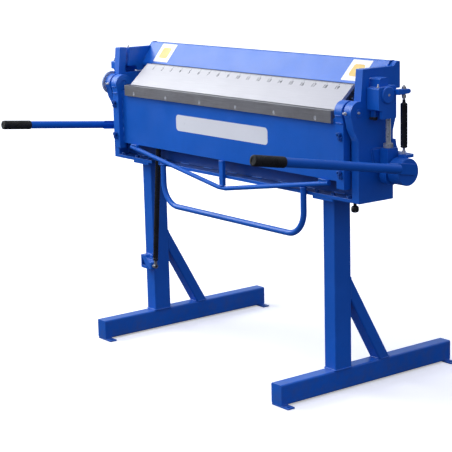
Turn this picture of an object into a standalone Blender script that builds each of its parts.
"""Sheet metal brake, 1.3 m: two box-section legs, a fixed bed between two side frames, a clamping
beam with a sloping blade that two hand levers raise and lower, and a folding leaf that swings up
about the bed edge.

The frame: +X runs along the bending edge, the operator stands on the -Y side (the front), +Z is up
and the floor is z = 0. Sizes are in millimetres and become metres in to_object.
"""

import math

import bmesh
import bpy
from mathutils import Matrix, Vector

# ---- driving dimensions, mm ----
SHIFT_Y = 38.65  # puts the frame's origin under the middle of the machine's box
GAP = 0.3  # clearance between neighbouring pieces
SEG = 32  # sides of a turned piece unless it gives its own
SWEPT_SEG = 16  # sides of a bent bar
SIGN = {"left": -1, "right": 1}

# legs
LEG_X = 589.8  # middle of each leg
RHS_W, RHS_D, RHS_WALL = 59.0, 80.0, 4.0  # leg section: across X, along Y, wall
HALF_W, HALF_D = RHS_W / 2, RHS_D / 2
FOOT_Y0, FOOT_Y1 = -302.0, 569.0
FOOT_Z0, FOOT_Z1 = 5.3, 84.7
FOOT_PLATE_D = 34
COLUMN_Z1 = 733.5

# fixed body
BASE_Z0, BASE_Z1 = 744.0, 757.0
BASE_Y0, BASE_Y1 = -71.0, 97.0
FRAME_IN, FRAME_OUT = 751.0, 787.7  # side frame faces
BED_Z = 1066.0  # sheet support height
NOSE_HALF = 692.0

# folding leaf
HINGE = AXIS_Y, AXIS_Z = -67.0, 1068.0  # leaf hinge line
BOSS_R = 40.0
PIVOT_R = 15
LEAF_HALF = 700.0
LEAF_Y0, LEAF_Y1 = -77, -67.5
LEAF_Z0, LEAF_Z1 = 815, 1040
BAR_HALF = 663.0
ADJUSTER_X = 724
ADJUSTER_Z = {"lower": 854, "upper": 990}
TRUSS_Y, TRUSS_R, TRUSS_LOW, TRUSS_HIGH = -80.8, 9.0, 706.0, 804.0
TRUSS_FLAT, TRUSS_END = 24, 640.0  # x where the level middle part and the rod end
BOW_Y, BOW_X0, BOW_X1, BOW_LOW = -83.2, -400.0, 500.0, 587.0
BOW_R, BOW_BEND = 11.5, 92.0

# leaf assist spring, its ends as (y, z)
SPRING_X = -479.0
SPRING_LOW = (-88.0, 305.0)
SPRING_TOP = (-47.0, 868.0)
SPRING_START = Vector((SPRING_X, *SPRING_LOW))
SPRING_END = Vector((SPRING_X, *SPRING_TOP))
SPRING_AXIS = (SPRING_END - SPRING_START).normalized()
SPRING_SPAN = (SPRING_END - SPRING_START).length
EYE_BORE_R = 5.4

# clamping beam and blade
BEAM_HALF, BEAM_END_OUT = 745.0, 770.0
BEAM_LOW, BEAM_TOP, BEAM_BACK = 1136.5, 1234.0, 148.0
PANEL_LOW, PANEL_TOP = (63.0, 1150.0), (121.0, 1233.0)  # sloping front panel, (y, z)
SLOPE = math.radians(42.0)  # blade slope
BLADE_TIP = Vector((-64.0, 1068.6))
BLADE_HALF, BLADE_T, BLADE_TOP_Y = 655.0, 12.0, 28.0
BLADE_FOOT = BLADE_TIP + Vector((BLADE_T / math.sin(SLOPE), 0))
BLADE_GAP = 0.45  # height between the blade and its carrier

# levers
HUB = HUB_Y, HUB_Z = 61.0, 857.0  # lever shaft line
HUB_R, HUB_X0, HUB_X1 = 49.0, 845.0, 902.0
SHAFT_R = 12
ECC_R, ECC_E, ECC_START = 34.0, 22.2, math.radians(-50.0)
LEVER_X = 915.0
LEVER_ANGLE = {"right": math.radians(9.3), "left": math.radians(5.6)}
LEVER_LENGTH = {"right": 716.0, "left": 610.0}
LEVER_RISE = {"right": 10.5, "left": 3.0}
TUBE_R, GRIP_R, GRIP_L = 16.0, 19.0, 132.0

# threaded link between clamping beam and lever cam
LINK_X, LINK_Y, ROD_Y = 820.0, 45.0, 41.0
LINK_LINE = (LINK_X, ROD_Y)
ROD_R, ROD_HOLE_R = 9.8, 10.2
STRAP_Z0, STRAP_Z1 = 878.5, 938

# clamp assist spring
CLAMP_SPRING = CLAMP_X, CLAMP_Y = 866.0, 73.0
SHELF_Z0, SHELF_Z1 = 906.0, 917.0
ARM_Z = 1138.0

# ---- outlines, (y, z) ----
SIDE_FRAME = "side frame"


def arc(u, v, radius, start, end, steps):
    """Points on a circle about (u, v), from one angle to another in degrees."""
    angles = [math.radians(start + (end - start) * k / steps) for k in range(steps + 1)]
    return [(u + radius * math.cos(a), v + radius * math.sin(a)) for a in angles]


def rounded(u0, u1, v0, v1, radius, steps):
    """Outline of a rectangle with rounded corners."""
    points = []
    for u, v, start in (
        (u1 - radius, v1 - radius, 0),
        (u0 + radius, v1 - radius, 90),
        (u0 + radius, v0 + radius, 180),
        (u1 - radius, v0 + radius, 270),
    ):
        points += arc(u, v, radius, start, start + 90, steps)
    return points


SIDE_FRAME = [
    (BASE_Y0, BASE_Z0), (95.5, BASE_Z0), (95.5, 992), (108, 1034), (109, 1054),
    (104, 1112), (-20, 1112), (-24.5, 1122), (-12, 1219), (-47.5, 1219), (-59, 1106),
    *arc(AXIS_Y, AXIS_Z, BOSS_R, 78, 208, 12),
    (-94, 1012), (BASE_Y0, 968),
]
FRAME_GUIDE = [(-12, 934), (0, 878), (70, 878), (70, 934)]
BED_NOSE = [
    (-64.5, BED_Z), (-64.5, BED_Z - 3), (-40, BED_Z - 19.7), (90, BED_Z - 19.7), (90, BED_Z),
]
SHELF_WEB = [
    (78, 880), (100, 880), (112, 910), (112, 922), (104, 938), (100, 962), (84, 962), (78, 930),
]
FOLDING_BAR = [
    (-90, 1023.5), (LEAF_Y0 - GAP, 1023.5), (LEAF_Y0 - GAP, LEAF_Z1 + GAP),
    (LEAF_Y1, LEAF_Z1 + GAP), (LEAF_Y1, 1066), (-70, 1067.5), (-90, 1067.5),
]
LEAF_ARM = [
    (-100, 792), (-66, 792), (-66, 1000), (-44, 1035),
    *arc(AXIS_Y, AXIS_Z, BOSS_R, -40, 200, 20),
    (-100, 1030),
]
SPRING_LUG = [
    (-67.2, 835), (-67.2, 905), (-56, 905), (-38, 880), (-34, 868), (-38, 856), (-56, 835),
]
BEAM_END_PLATE = [
    (-9, 1137.5), (30, 1137.5), (37, 1116), (106, 1116), (114, 1137.5),
    (BEAM_BACK, 1137.5), (BEAM_BACK, BEAM_TOP), (132, BEAM_TOP), (118, 1218), (-1, 1218),
]
LINK_HEAD_TOP = [(-6, 1138), (34, 1138), (34, 1188), (-2, 1187), (-6, 1182)]
LINK_HEAD_STEP = {"left": (1122, 1122), "right": (1078, 1074)}  # z at y = -32 and y = -15
CLAMP_ARM = [
    (40.0, ARM_Z - 10.5), (CLAMP_Y + 18, ARM_Z - 8.5),
    *arc(CLAMP_Y + 18, ARM_Z, 8.5, -70, 70, 6),
    (CLAMP_Y + 18, ARM_Z + 8.5), (40.0, ARM_Z + 9.2),
]

# Turns an outline point and a distance along the named axis into x, y, z
PLACE = {
    "X": lambda point, t: (t, point[0], point[1]),
    "Y": lambda point, t: (point[0], t, point[1]),
    "Z": lambda point, t: (point[0], point[1], t),
}


# ---- shapes ----
def skin(rings):
    """A closed solid through equal rings of points, capped at both ends."""
    shape = bmesh.new()
    rings = [[shape.verts.new(point) for point in ring] for ring in rings]
    count = len(rings[0])
    for a, b in zip(rings, rings[1:]):
        for k in range(count):
            shape.faces.new((a[k], a[(k + 1) % count], b[(k + 1) % count], b[k]))
    shape.faces.new(rings[0])
    shape.faces.new(rings[-1])
    bmesh.ops.recalc_face_normals(shape, faces=shape.faces[:])
    if shape.calc_volume(signed=True) < 0:
        bmesh.ops.reverse_faces(shape, faces=shape.faces[:])
    return shape


def prism(outline, start, end, axis="X"):
    """Extrudes an outline: (y, z) along X, (x, z) along Y, or (x, y) along Z."""
    return skin([[PLACE[axis](point, t) for point in outline] for t in (start, end)])


def block(x0, x1, y0, y1, z0, z1):
    return prism([(y0, z0), (y1, z0), (y1, z1), (y0, z1)], x0, x1)


def rod(start, axis, profile, seg=SEG):
    """A turned piece. The profile lists (distance from start along the axis, radius)."""
    start, axis = Vector(start), Vector(axis).normalized()
    side = Vector((0, 0, 1)) if abs(axis.z) < 0.9 else Vector((1, 0, 0))
    across = axis.cross(side).normalized()
    upright = axis.cross(across)
    turns = [2 * math.pi * (k + 0.5) / seg for k in range(seg)]
    return skin([
        [
            start + axis * distance + (across * math.cos(t) + upright * math.sin(t)) * radius
            for t in turns
        ]
        for distance, radius in profile
    ])


def cylinder(centre, radius, start, end, axis="X", seg=SEG):
    """A cylinder along an axis; its centre is given like a prism's outline point."""
    first = Vector(PLACE[axis](centre, start))
    run = Vector(PLACE[axis](centre, end)) - first
    return rod(first, run, [(0, radius), (run.length, radius)], seg)


def swept(path, y, radius):
    """A round bar along a list of (x, z) points at constant y."""
    points = [Vector((x, y, z)) for x, z in path]
    across = Vector((0, 1, 0))
    rings = []
    for i, point in enumerate(points):
        before = (point - points[i - 1]).normalized() if i else (points[1] - point).normalized()
        after = (points[i + 1] - point).normalized() if i + 1 < len(points) else before
        along = (before + after).normalized()
        upright = along.cross(across).normalized()
        stretch = 1.0 / max(0.5, along.dot(before))  # keeps the bar's thickness at a mitre
        rings.append([
            point + across * radius * math.cos(t) + upright * radius * stretch * math.sin(t)
            for t in (2 * math.pi * k / SWEPT_SEG for k in range(SWEPT_SEG))
        ])
    return skin(rings)


def flipped(shape):
    """The same shape on the other side of x = 0."""
    bmesh.ops.scale(shape, vec=(-1, 1, 1), verts=shape.verts[:])
    bmesh.ops.reverse_faces(shape, faces=shape.faces[:])
    return shape


# ---- objects ----
def material(name, colour, roughness, metallic):
    mat = bpy.data.materials.new(name)
    mat.use_nodes = True
    node = mat.node_tree.nodes["Principled BSDF"]
    node.inputs["Base Color"].default_value = colour
    node.inputs["Roughness"].default_value = roughness
    node.inputs["Metallic"].default_value = metallic
    return mat


def to_object(name, shape):
    bmesh.ops.translate(shape, vec=(0, SHIFT_Y, 0), verts=shape.verts[:])
    bmesh.ops.scale(shape, vec=(0.001, 0.001, 0.001), verts=shape.verts[:])
    mesh = bpy.data.meshes.new(name)
    shape.to_mesh(mesh)
    shape.free()
    obj = bpy.data.objects.new(name, mesh)
    bpy.context.scene.collection.objects.link(obj)
    return obj


def add(name, base, join=(), cut=(), look="blue"):
    """Makes a piece; joined and cut shapes become hidden tools of live boolean modifiers."""
    obj = to_object(name, base)
    obj.data.materials.append(LOOKS[look])
    for kind, shapes in (("UNION", join), ("DIFFERENCE", cut)):
        for k, shape in enumerate(shapes):
            tool = to_object(f"tool_{name}_{kind[0]}{k}", shape)
            tool.hide_render = True
            tool.display_type = "WIRE"
            mod = obj.modifiers.new(f"{kind.title()}{k}", "BOOLEAN")
            mod.operation = kind
            mod.solver = "EXACT"
            mod.object = tool


def add_handed(name, side, base, join=(), cut=(), look="blue"):
    """Adds a piece drawn on the right, mirrored when it belongs on the left."""
    if side == "left":
        base = flipped(base)
        join = [flipped(shape) for shape in join]
        cut = [flipped(shape) for shape in cut]
    add(f"{name}_{side}", base, join, cut, look)


# ---- legs ----
def leg_section(leg_x, low, high, inset, radius):
    """The leg's box section, set in from its outer faces by inset."""
    return rounded(
        leg_x - HALF_W + inset, leg_x + HALF_W - inset, low + inset, high - inset, radius, 3
    )


def column(side):
    leg_x = SIGN[side] * LEG_X
    outer = rounded(leg_x - HALF_W - 2.5, leg_x + HALF_W + 1.5, -HALF_D, HALF_D, 4, 3)
    inner = leg_section(leg_x, -HALF_D, HALF_D, RHS_WALL, 3)
    add(
        f"column_{side}",
        prism(outer, FOOT_Z1 + GAP, COLUMN_Z1, "Z"),
        cut=[prism(inner, FOOT_Z1 - 5, COLUMN_Z1 + 5, "Z")],
    )


def foot_beam(side):
    """Closed box beam with a hole in its underside."""
    leg_x = SIGN[side] * LEG_X
    inner = leg_section(leg_x, FOOT_Z0, FOOT_Z1, RHS_WALL, 3)
    add(
        f"foot_beam_{side}",
        prism(leg_section(leg_x, FOOT_Z0, FOOT_Z1, 0, 7), FOOT_Y0, FOOT_Y1, "Y"),
        cut=[
            prism(inner, FOOT_Y0 + RHS_WALL, FOOT_Y1 - RHS_WALL, "Y"),
            cylinder((leg_x, 120), 9, FOOT_Z0 - 5, FOOT_Z0 + 10, "Z", 20),
        ],
    )


def brace(side):
    """Raking box section behind the column, both ends mitred."""
    leg_x = SIGN[side] * LEG_X
    # (y, z) corners of the upper face, top first, and of the under face, foot first
    upper = [(HALF_D + GAP, 437.0), (239.0, FOOT_Z1 + GAP)]
    under = [(186.5, FOOT_Z1 + GAP), (HALF_D + GAP, 344.0)]
    run = (Vector(upper[1]) - Vector(upper[0])).normalized()
    fall, reach = abs(run.y), abs(run.x)
    over = 30  # how far the hollow runs past the ends

    def inset(point, at_top, toward):
        """Extends a corner along the brace, then moves it square to the face by the wall."""
        if at_top:
            y, z = point[0] - over, point[1] + over * fall / reach
        else:
            y, z = point[0] + over * reach / fall, point[1] - over
        return (y + toward * fall * RHS_WALL, z + toward * reach * RHS_WALL)

    hollow = [
        inset(upper[0], True, -1),
        inset(upper[1], False, -1),
        inset(under[0], False, 1),
        inset(under[1], True, 1),
    ]
    add(
        f"brace_{side}",
        prism(upper + under, leg_x - HALF_W, leg_x + HALF_W),
        cut=[prism(hollow, leg_x - HALF_W + RHS_WALL, leg_x + HALF_W - RHS_WALL)],
    )


def foot_plates(side):
    """Floor plates under both foot ends; each sticks out on the +X side with a hole."""
    leg_x = SIGN[side] * LEG_X
    x0, x1 = leg_x - HALF_W, leg_x + HALF_W + 36
    for end, y0 in (("front", FOOT_Y0), ("rear", FOOT_Y1 - FOOT_PLATE_D)):
        outline = rounded(x0, x1, y0, y0 + FOOT_PLATE_D, 3, 2)
        add(
            f"foot_plate_{end}_{side}",
            prism(outline, 0, FOOT_Z0 - GAP, "Z"),
            cut=[cylinder((x1 - 17, y0 + 17), 6.5, -5, 12, "Z", 20)],
        )


def column_top_plate(side):
    leg_x = SIGN[side] * LEG_X
    outline = rounded(leg_x - 58, leg_x + 58, -70, 70, 6, 3)
    add(
        f"column_top_plate_{side}",
        prism(outline, COLUMN_Z1 + GAP, BASE_Z0 - GAP, "Z"),
        cut=[
            cylinder((leg_x + dx, dy), 5.5, COLUMN_Z1 - 5, BASE_Z0 + 5, "Z", 16)
            for dx, dy in ((-44, -56), (44, -56), (-44, 56), (44, 56))
        ],
    )


# ---- fixed body ----
def base_plate():
    """Plate under the bed, slotted at the front around the leaf spring."""
    half = FRAME_IN - GAP
    slot = block(SPRING_X - 24, SPRING_X + 24, BASE_Y0 - 10, -24, BASE_Z0 - 5, BASE_Z1 + 5)
    add("base_plate", block(-half, half, BASE_Y0, BASE_Y1, BASE_Z0, BASE_Z1), cut=[slot])


def bed_beam():
    """Box beam, open at both ends, with two windows in the rear wall."""
    half = FRAME_IN - GAP
    add(
        "bed_beam",
        block(-half, half, -20, 90, BASE_Z1 + GAP, BED_Z - 20),
        cut=[
            block(-half - 5, half + 5, -12, 82, BASE_Z1 + 8, BED_Z - 32),
            block(-620, -200, 70, 100, 820, 980),
            block(200, 620, 70, 100, 820, 980),
        ],
    )


def bed_nose():
    add("bed_nose", prism(BED_NOSE, -NOSE_HALF, NOSE_HALF), look="dark")


def side_frame(side):
    add_handed(
        "side_frame",
        side,
        prism(SIDE_FRAME, FRAME_IN, FRAME_OUT),
        join=[prism(FRAME_GUIDE, FRAME_OUT - 6, 799)],
        cut=[
            cylinder(HINGE, PIVOT_R + GAP, FRAME_IN - 8, FRAME_OUT + 8),
            cylinder(HUB, SHAFT_R + GAP, FRAME_IN - 8, FRAME_OUT + 30),
        ],
    )


def clamp_spring_bracket():
    """A shelf over the right drum, on a web behind the strap box."""
    shelf = [  # (x, y)
        (FRAME_OUT + GAP, 78), (CLAMP_X - 18, 78), (CLAMP_X - 16, 58),
        (CLAMP_X + 26, 58), (CLAMP_X + 26, 100), (FRAME_OUT + GAP, 112),
    ]
    add(
        "clamp_spring_bracket",
        prism(shelf, SHELF_Z0, SHELF_Z1, "Z"),
        join=[prism(SHELF_WEB, FRAME_OUT + GAP, FRAME_OUT + 9)],
    )


def clamp_spring_rod():
    profile = [(0, 8), (9, 8), (9.01, 5), (160, 5)]
    start = (CLAMP_X, CLAMP_Y, SHELF_Z1 + GAP)
    add("clamp_spring_rod", rod(start, (0, 0, 1), profile, 20), look="steel")


def leaf_spring_bracket():
    """Block on the front of the left column, with an arm reaching to the spring's lower end."""
    leg_x = -LEG_X
    left, right, front = leg_x - HALF_W, leg_x + HALF_W, -HALF_D
    arm = [  # (x, y)
        (right - 16, front - 26), (right - 16, front - 4), (right - 2, front - 4),
        (SPRING_X - 12, front - 36), (SPRING_X - 12, front - 62), (SPRING_X - 24, front - 62),
    ]
    # (x, z): a triangular pocket low on the left, and the sloping cut at the top right corner
    pocket = [(left + 8, 286), (left + 8, 322), (leg_x + 8, 286)]
    corner = [(left + 26, 340), (right + 9, 340), (right + 9, 322), (right - 16, 322)]
    add(
        "leaf_spring_bracket",
        block(left + 1, right - 1, front - 28, front - GAP, 274, 332),
        join=[prism(arm, 290, 320, "Z")],
        cut=[prism(shape, front - 40, front - 8, "Y") for shape in (pocket, corner)],
    )


def lock_knob():
    """Knob hanging under the right-hand end of the machine, on a short stem."""
    profile = [(0, 6), (13, 6), (13.01, 9), (16, 13), (27, 14.5), (33, 13.5), (37, 10)]
    add("lock_knob", rod((742, -48, BASE_Z0 - GAP), (0, 0, -1), profile, 24), look="black")


# ---- folding leaf ----
def leaf_plate():
    add("leaf_plate", block(-LEAF_HALF, LEAF_HALF, LEAF_Y0, LEAF_Y1, LEAF_Z0, LEAF_Z1))


def folding_bar():
    """Bar along the leaf's top edge, with a row of six countersunk holes in front."""
    countersink = [(0, 7.5), (5, 3.5), (9, 3.5)]
    pitch, offset = 234.5, 9.0
    add(
        "folding_bar",
        prism(FOLDING_BAR, -BAR_HALF, BAR_HALF),
        cut=[
            rod(((k - 2.5) * pitch - offset, -91, 1036), (0, 1, 0), countersink, 20)
            for k in range(6)
        ],
        look="dark",
    )


def leaf_arm(side):
    holes = [cylinder((ADJUSTER_X, z), 7.0, -105, -88, "Y", 20) for z in ADJUSTER_Z.values()]
    add_handed(
        "leaf_arm",
        side,
        prism(LEAF_ARM, LEAF_HALF + GAP, 741),
        cut=[cylinder(HINGE, PIVOT_R + GAP, 690, 750)] + holes,
    )


def pivot_pin(side):
    length = {"left": 98, "right": 87}[side]
    add_handed("pivot_pin", side, cylinder(HINGE, PIVOT_R, 703, 703 + length))


def arm_adjusters(side):
    """Round studs with a hexagonal socket, each joined to a hexagon set lower down."""
    sign = SIGN[side]
    stud_x, hexagon_x = sign * ADJUSTER_X, sign * 726
    for level, z in ADJUSTER_Z.items():
        add(
            f"arm_adjuster_{level}_{side}",
            cylinder((stud_x, z), 6.5, -90.3, -114, "Y", 20),
            join=[cylinder((hexagon_x, z - 12), 9.5, -100 - GAP, -109, "Y", 6)],
            cut=[cylinder((stud_x, z), 3.4, -118, -107, "Y", 6)],
            look="dark",
        )


def angle_disc():
    """Disc outside the left side frame, with nine holes on a circle about the hinge."""
    centres = [
        (AXIS_Y + 39 * math.cos(a), AXIS_Z + 39 * math.sin(a))
        for a in (math.radians(20 + 28 * k) for k in range(9))
    ]
    holes = [cylinder(centre, 3.2, -780, -805, seg=12) for centre in centres]
    add(
        "angle_disc",
        rod((-789.0, *HINGE), (-1, 0, 0), [(0, 50), (9, 50), (10, 49)], 48),
        cut=[cylinder(HINGE, PIVOT_R + GAP, -780, -805)] + holes,
        look="steel",
    )


def truss_rod():
    """Bent bar under the leaf, with a block at each end against the leaf plate."""
    path = [
        (-TRUSS_END, TRUSS_HIGH), (-TRUSS_FLAT, TRUSS_LOW),
        (TRUSS_FLAT, TRUSS_LOW), (TRUSS_END, TRUSS_HIGH),
    ]
    add(
        "truss_rod",
        swept(path, TRUSS_Y, TRUSS_R),
        join=[
            block(x - 24, x + 24, TRUSS_Y - 6, TRUSS_Y + 8, 800, LEAF_Z0 - GAP)
            for x in (-612, 612)
        ],
    )


def truss_strut():
    """Upright between truss rod and leaf, with a hexagon on its left face."""
    add(
        "truss_strut",
        block(-9, 15, -88, -73, TRUSS_LOW + TRUSS_R + GAP, LEAF_Z0 - GAP),
        join=[cylinder((-80.5, 742), 6.5, -14, -2, seg=6)],
    )


def truss_under(x):
    """Height at which a bar of the bow's radius, upright at x, clears the truss rod."""
    rise = (TRUSS_HIGH - TRUSS_LOW) / (TRUSS_END - TRUSS_FLAT)
    middle = TRUSS_LOW + rise * (abs(x) - TRUSS_FLAT)
    return middle - TRUSS_R * math.hypot(1, rise) - BOW_R * rise


def bow_handle():
    bend_z = BOW_LOW + BOW_BEND
    path = [
        (BOW_X0, truss_under(BOW_X0) - GAP),
        *arc(BOW_X0 + BOW_BEND, bend_z, BOW_BEND, 180, 270, 8),
        *arc(BOW_X1 - BOW_BEND, bend_z, BOW_BEND, 270, 360, 8),
        (BOW_X1, truss_under(BOW_X1) - GAP),
    ]
    add("bow_handle", swept(path, BOW_Y, BOW_R))


def leaf_spring_lug():
    """Lug behind the leaf plate, with the pin for the spring's upper eye."""
    add(
        "leaf_spring_lug",
        prism(SPRING_LUG, SPRING_X - 22, SPRING_X - 12),
        join=[cylinder(SPRING_TOP, 5, SPRING_X - 14, SPRING_X + 9, seg=20)],
    )


def spring_eye(centre, radius, half):
    return cylinder(centre, radius, SPRING_X - half, SPRING_X + half, seg=24)


def leaf_spring_rod():
    profile = [(0, 7.5), (15, 7.5), (15.01, 5), (450, 5)]
    add(
        "leaf_spring_rod",
        rod(SPRING_START + SPRING_AXIS * 8, SPRING_AXIS, profile, 20),
        join=[spring_eye(SPRING_LOW, 9.5, 7.5)],
        cut=[spring_eye(SPRING_LOW, EYE_BORE_R, 20)],
        look="steel",
    )


def leaf_spring_cylinder():
    start, bore_start = 25, 15  # distances from the lower eye
    profile = [
        (0, 11), (SPRING_SPAN - start - 24, 11),
        (SPRING_SPAN - start - 18, 7.5), (SPRING_SPAN - start - 8, 7.5),
    ]
    bore = [(0, 5.5), (SPRING_SPAN - 40 - bore_start, 5.5)]
    add(
        "leaf_spring_cylinder",
        rod(SPRING_START + SPRING_AXIS * start, SPRING_AXIS, profile, 24),
        join=[spring_eye(SPRING_TOP, 12, 7.5)],
        cut=[
            rod(SPRING_START + SPRING_AXIS * bore_start, SPRING_AXIS, bore, 20),
            spring_eye(SPRING_TOP, EYE_BORE_R, 20),
        ],
        look="cylinder",
    )


# ---- clamping beam ----
def clamp_beam():
    """Hollow beam with a sloping front panel, open at both ends."""
    panel_y, panel_z = PANEL_LOW
    outer = [
        (panel_y, BEAM_LOW), (BEAM_BACK, BEAM_LOW), (BEAM_BACK, BEAM_TOP),
        (PANEL_TOP[0] + 3, BEAM_TOP), PANEL_TOP, PANEL_LOW,
    ]
    hollow = [
        (panel_y + 8, BEAM_LOW + 6), (BEAM_BACK - 6, BEAM_LOW + 6),
        (BEAM_BACK - 6, BEAM_TOP - 6), (PANEL_TOP[0] + 4, BEAM_TOP - 6),
        (panel_y + 8, panel_z + 2),
    ]
    add(
        "clamp_beam",
        prism(outer, -BEAM_HALF + 0.6, BEAM_HALF - 0.6),
        cut=[prism(hollow, -BEAM_HALF - 5, BEAM_HALF + 5)],
    )


def clamp_blade():
    up_slope = Vector((math.cos(SLOPE), math.sin(SLOPE)))
    through = Vector((math.sin(SLOPE), -math.cos(SLOPE)))
    head = BLADE_TIP + up_slope * ((BLADE_TOP_Y - BLADE_TIP.x) / math.cos(SLOPE))
    outline = [BLADE_TIP, BLADE_FOOT, head + through * BLADE_T, head]
    add("clamp_blade", prism(outline, -BLADE_HALF, BLADE_HALF), look="white")


def blade_carrier():
    """Wedge between the blade and the beam, with a ridge in front of the beam's panel."""
    top = BEAM_LOW - GAP
    front = -20
    front_z = BLADE_FOOT.y + (front - BLADE_FOOT.x) * math.tan(SLOPE) - BLADE_GAP
    crest_y = BLADE_FOOT.x + (top + BLADE_GAP - BLADE_FOOT.y) / math.tan(SLOPE)
    wedge = [(front, 1084), (96, 1084), (122, top), (crest_y, top), (front, front_z)]
    add(
        "blade_carrier",
        prism(wedge, -BLADE_HALF, BLADE_HALF),
        join=[block(-BLADE_HALF, BLADE_HALF, 37.0, 62.4, 1128, 1149)],
        look="dark",
    )


def beam_end_plate(side):
    add_handed("beam_end_plate", side, prism(BEAM_END_PLATE, BEAM_HALF, BEAM_END_OUT))


def link_head(side):
    """Block over the threaded link, joined to an inward upper block and an outward disc."""
    front_z, inner_z = LINK_HEAD_STEP[side]
    outline = [(-15, 1046), (52, 1046), (52, 1162), (-32, 1155), (-32, front_z), (-15, inner_z)]
    add_handed(
        "link_head",
        side,
        prism(outline, 790, 850),
        join=[
            prism(LINK_HEAD_TOP, BEAM_END_OUT + GAP, 828),
            rod((840, 10, 1129.5), (1, 0, 0), [(0, 29), (16.5, 29), (18, 27.5)], 40),
        ],
        cut=[cylinder(LINK_LINE, ROD_HOLE_R, 1040, 1056, "Z", 24)],
    )


def link_rod(side):
    add_handed("link_rod", side, cylinder(LINK_LINE, ROD_R, 926, 1055, "Z", 24), look="steel")


def lock_nut(side):
    add_handed(
        "lock_nut",
        side,
        cylinder(LINK_LINE, 17.5, STRAP_Z1 + GAP, 955, "Z", 6),
        cut=[cylinder(LINK_LINE, ROD_HOLE_R, 930, 970, "Z", 24)],
        look="steel",
    )


def strap_box(side):
    add_handed(
        "strap_box",
        side,
        block(LINK_X - 20, LINK_X + 20, LINK_Y - 25, LINK_Y + 25, STRAP_Z0, STRAP_Z1),
        cut=[cylinder(LINK_LINE, ROD_HOLE_R, 925.5, 950, "Z", 24)],
    )


def lever_hub(side):
    """Drum, eccentric cam and shaft in one piece."""
    width = HUB_X1 - HUB_X0
    drum = [(0, HUB_R), (width - 2, HUB_R), (width, HUB_R - 2)]
    cam = (HUB_Y - ECC_E * math.cos(ECC_START), HUB_Z + ECC_E * math.sin(ECC_START))
    add_handed(
        "lever_hub",
        side,
        rod((HUB_X0, *HUB), (1, 0, 0), drum, 48),
        join=[
            cylinder(cam, ECC_R, 803, 837, seg=40),
            cylinder(HUB, SHAFT_R, FRAME_IN + 4, HUB_X0 + 10, seg=28),
        ],
    )


def tilted(shape, side):
    """Raises a level lever shape, then turns it about the hub so that its front end lifts."""
    bmesh.ops.translate(shape, vec=(0, 0, LEVER_RISE[side]), verts=shape.verts[:])
    bmesh.ops.rotate(
        shape,
        cent=Vector((0, HUB_Y, HUB_Z)),
        matrix=Matrix.Rotation(-LEVER_ANGLE[side], 3, "X"),
        verts=shape.verts[:],
    )
    return shape


def lever_tube(side):
    """Hollow tube joined to a flat root plate on the drum's outer face."""
    end_y = HUB_Y - LEVER_LENGTH[side]
    line = (LEVER_X, HUB_Z)
    root = rounded(HUB_Y - 112, HUB_Y + 34, HUB_Z - 18, HUB_Z + 18, 6, 3)
    tube = cylinder(line, TUBE_R, HUB_Y - 60, end_y + 4, "Y", 28)
    bore = cylinder(line, TUBE_R - 3, HUB_Y - 50, end_y + 30, "Y", 24)
    add_handed(
        "lever_tube",
        side,
        tilted(tube, side),
        join=[tilted(prism(root, HUB_X1 + GAP, HUB_X1 + 6.3), side)],
        cut=[tilted(bore, side)],
    )


def lever_grip(side):
    end_y = HUB_Y - LEVER_LENGTH[side]
    profile = [(0, 17), (4, GRIP_R), (GRIP_L - 5, GRIP_R), (GRIP_L, 15)]
    grip = rod((LEVER_X, end_y + GRIP_L, HUB_Z), (0, -1, 0), profile, 28)
    line = (LEVER_X, HUB_Z)
    socket = cylinder(line, TUBE_R + 0.35, end_y + GRIP_L + 8, end_y + 3.7, "Y", 28)
    add_handed("lever_grip", side, tilted(grip, side), cut=[tilted(socket, side)], look="black")


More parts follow.
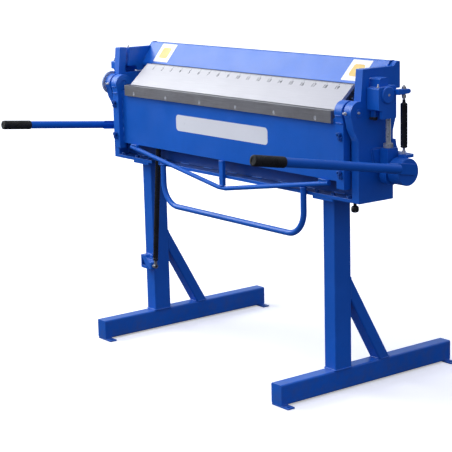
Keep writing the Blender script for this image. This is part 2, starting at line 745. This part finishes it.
def clamp_spring_arm():
    """Arm reaching back from the right link head, with a hole for the spring's stem."""
    add(
        "clamp_spring_arm",
        prism(CLAMP_ARM, 850.0 + GAP, 875.0),
        cut=[cylinder(CLAMP_SPRING, 4.5, ARM_Z - 30, ARM_Z + 30, "Z", 16)],
    )


def clamp_spring_cylinder():
    """Bored cylinder with a neck, a collar and a stem that carries a hexagon."""
    profile = [
        (0, 12.6), (158, 12.6), (162, 5.5), (174, 5.5),
        (175, 8), (187, 8), (187.2, 4), (220, 4),
    ]
    add(
        "clamp_spring_cylinder",
        rod((CLAMP_X, CLAMP_Y, 940), (0, 0, 1), profile, 20),
        join=[cylinder(CLAMP_SPRING, 7.5, ARM_Z + 9.6, ARM_Z + 18, "Z", 6)],
        cut=[cylinder(CLAMP_SPRING, 5.6, 930, 1088, "Z", 20)],
        look="cylinder",
    )


# ---- build ----
for old in list(bpy.data.objects):
    bpy.data.objects.remove(old, do_unlink=True)

BLACK = (0.012, 0.012, 0.015, 1.0)
LOOKS = {
    "blue": material("blue_paint", (0.018, 0.105, 0.48, 1.0), roughness=0.35, metallic=0.0),
    "steel": material("bright_steel", (0.42, 0.40, 0.37, 1.0), roughness=0.35, metallic=1.0),
    "dark": material("dark_steel", (0.16, 0.16, 0.17, 1.0), roughness=0.4, metallic=0.9),
    "white": material("white_blade_paint", (0.80, 0.81, 0.83, 1.0), roughness=0.4, metallic=0.0),
    "black": material("black_rubber", BLACK, roughness=0.6, metallic=0.0),
    "cylinder": material("black_cylinder_paint", BLACK, roughness=0.3, metallic=0.0),
}

for hand in SIGN:
    for build in (
        column, foot_beam, brace, foot_plates, column_top_plate, side_frame,
        leaf_arm, pivot_pin, arm_adjusters,
        beam_end_plate, link_head, link_rod, lock_nut, strap_box,
        lever_hub, lever_tube, lever_grip,
    ):
        build(hand)

for build in (
    base_plate, bed_beam, bed_nose, clamp_spring_bracket, clamp_spring_rod,
    leaf_spring_bracket, lock_knob,
    leaf_plate, folding_bar, angle_disc, truss_rod, truss_strut, bow_handle,
    leaf_spring_lug, leaf_spring_rod, leaf_spring_cylinder,
    clamp_beam, clamp_blade, blade_carrier, clamp_spring_arm, clamp_spring_cylinder,
):
    build()
